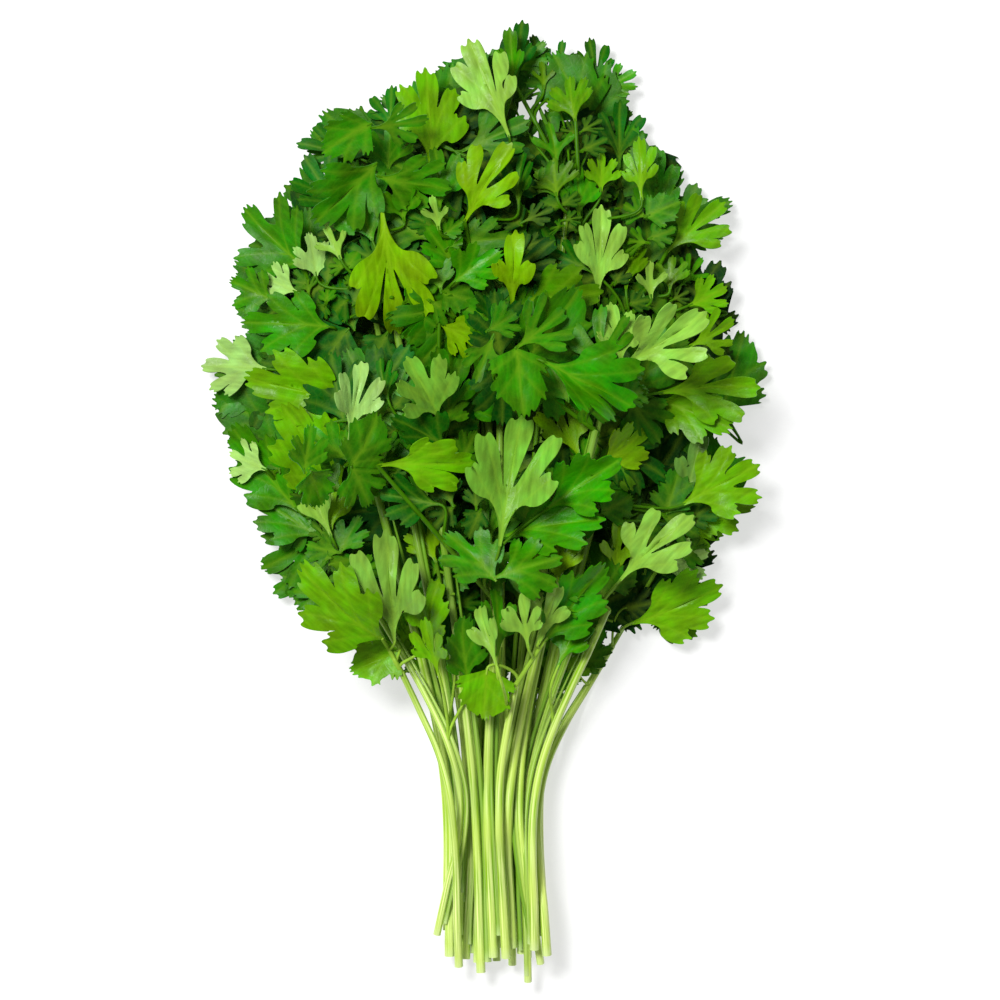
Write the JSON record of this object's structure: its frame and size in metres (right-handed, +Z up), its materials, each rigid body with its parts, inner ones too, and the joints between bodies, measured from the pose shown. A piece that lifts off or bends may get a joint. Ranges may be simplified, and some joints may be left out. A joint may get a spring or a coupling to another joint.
{
  "type": "parsley bunch",
  "caption": "Bunch of cut flat-leaf parsley lying on its side, with slender stalks gathered at a neck and a fan of toothed three-lobed leaflets.",
  "frame": {"origin": "middle of the bunch's box, on the surface it lies on", "axes": "+Y along the bunch from the cut ends to the leaf tips, +X to the right as seen from above, +Z up"},
  "size_m": [0.1782, 0.3064, 0.0636],
  "materials": {
    "stalk": "smooth, waxy, ribbed fresh stalk, paler towards the cut end",
    "leaf_dark": "satin dark green leaf with sunk veins",
    "leaf_mid": "satin mid green leaf with sunk veins",
    "leaf_light": "satin yellow-green leaf with pale veins and a paler underside"
  },
  "bodies": {
    "root": {"stem_01": "stalk", "leaf_01": "leaf_dark", "stem_02": "stalk", "leaf_02": "leaf_mid", "stem_03": "stalk", "leaf_03": "leaf_light", "stem_04": "stalk", "leaf_04": "leaf_dark", "stem_05": "stalk", "leaf_05": "leaf_mid", "stem_06": "stalk", "leaf_06": "leaf_light", "stem_07": "stalk", "leaf_07": "leaf_dark", "stem_08": "stalk", "leaf_08": "leaf_mid", "stem_09": "stalk", "leaf_09": "leaf_light", "stem_10": "stalk", "leaf_10": "leaf_dark", "stem_11": "stalk", "leaf_11": "leaf_mid", "stem_12": "stalk", "leaf_12": "leaf_light", "stem_13": "stalk", "leaf_13": "leaf_dark", "stem_14": "stalk", "leaf_14": "leaf_mid", "stem_15": "stalk", "leaf_15": "leaf_light", "stem_16": "stalk", "leaf_16": "leaf_dark", "stem_17": "stalk", "leaf_17": "leaf_mid", "stem_18": "stalk", "leaf_18": "leaf_light", "stem_19": "stalk", "leaf_19": "leaf_dark", "stem_20": "stalk", "leaf_20": "leaf_mid", "stem_21": "stalk", "leaf_21": "leaf_light", "stem_22": "stalk", "leaf_22": "leaf_dark", "stem_23": "stalk", "leaf_23": "leaf_mid", "stem_24": "stalk", "leaf_24": "leaf_light", "stem_25": "stalk", "leaf_25": "leaf_dark", "stem_26": "stalk", "leaf_26": "leaf_mid", "stem_27": "stalk", "leaf_27": "leaf_light", "stem_28": "stalk", "leaf_28": "leaf_dark"}
  },
  "joints": []
}
